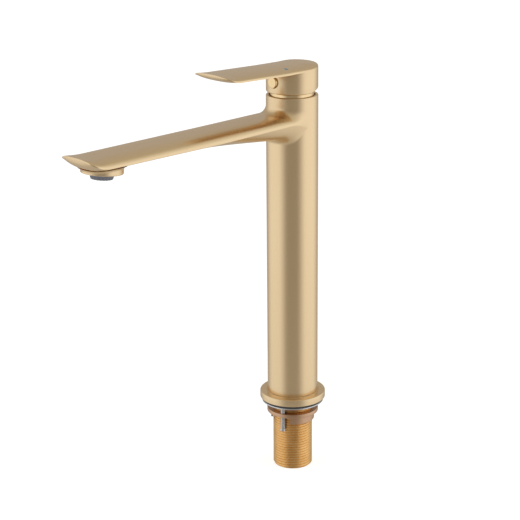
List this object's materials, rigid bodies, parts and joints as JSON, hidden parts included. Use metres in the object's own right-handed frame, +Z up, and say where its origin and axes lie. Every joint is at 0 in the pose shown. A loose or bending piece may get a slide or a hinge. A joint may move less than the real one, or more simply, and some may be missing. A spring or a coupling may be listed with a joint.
{
  "type": "bathroom mixer faucet",
  "caption": "Tall single-lever basin mixer with a round column, long flat arched spout, tilting and turning lever, ceramic cartridge and threaded deck shank.",
  "frame": {"origin": "centre of the base flange underside, on the deck plane", "axes": "+Z up along the column, the spout and lever point to -Y, +X is the cold side"},
  "size_m": [0.0552, 0.2468, 0.3507],
  "materials": {
    "brushed_gold": "satin brushed",
    "polished_gold": "polished",
    "cast_copper": "as cast",
    "raw_brass": "as machined",
    "steel": "satin",
    "black_rubber": "matt",
    "white_plastic": "moulded",
    "grey_plastic": "moulded",
    "ceramic": "lapped ceramic",
    "blue_enamel": "enamel",
    "red_enamel": "enamel"
  },
  "bodies": {
    "tap_body": {"column": "brushed_gold", "spout": "brushed_gold", "base_flange": "brushed_gold", "flange_gasket": "black_rubber", "threaded_shank": "raw_brass", "water_manifold": "raw_brass", "manifold_seals": "black_rubber", "cartridge_base": "white_plastic", "cartridge_seals": "black_rubber", "cartridge_housing": "white_plastic", "cartridge_o_ring": "black_rubber", "ceramic_disc_fixed": "ceramic", "stop_ring": "grey_plastic", "retaining_nut": "raw_brass", "dome_ring": "polished_gold", "aerator_housing": "grey_plastic", "aerator_insert": "white_plastic", "aerator_mesh": "steel", "aerator_gasket": "black_rubber"},
    "turning_holder": {"stem_holder": "white_plastic", "stem_o_ring": "black_rubber", "pivot_pin": "steel"},
    "lever": {"handle": "brushed_gold", "handle_skirt": "brushed_gold", "handle_plug": "polished_gold", "set_screw": "steel", "cold_marker": "blue_enamel", "hot_marker": "red_enamel", "stem": "raw_brass"},
    "moving_disc": {"ceramic_disc_moving": "ceramic", "disc_carrier": "white_plastic"},
    "deck_washer": {"steel_washer": "steel"},
    "deck_nut": {"mounting_nut": "cast_copper"},
    "jacks": {"jack_screws": "steel"}
  },
  "joints": [
    {"name": "lever_turn", "type": "hinge", "parent": "tap_body", "child": "turning_holder", "pos_m": [0, 0, 0.258], "axis": [0, 0, 1], "range_deg": [-45, 45]},
    {"name": "lever_lift", "type": "hinge", "parent": "turning_holder", "child": "lever", "pos_m": [0, 0, 0.258], "axis": [-1, 0, 0], "range_deg": [0, 17]},
    {"name": "disc_slide", "type": "slide", "parent": "turning_holder", "child": "moving_disc", "axis": [0, -1, 0], "range_m": [0, 0.0034]},
    {"name": "washer_travel", "type": "slide", "parent": "tap_body", "child": "deck_washer", "axis": [0, 0, 1], "range_m": [-0.025, 0]},
    {"name": "nut_travel", "type": "slide", "parent": "deck_washer", "child": "deck_nut", "axis": [0, 0, 1], "range_m": [-0.01, 0]},
    {"name": "jack_travel", "type": "slide", "parent": "deck_nut", "child": "jacks", "axis": [0, 0, 1], "range_m": [-0.006, 0]}
  ],
  "couplings": [
    {"joint": "disc_slide", "follows": "lever_lift", "m_per_rad": 0.011332}
  ]
}
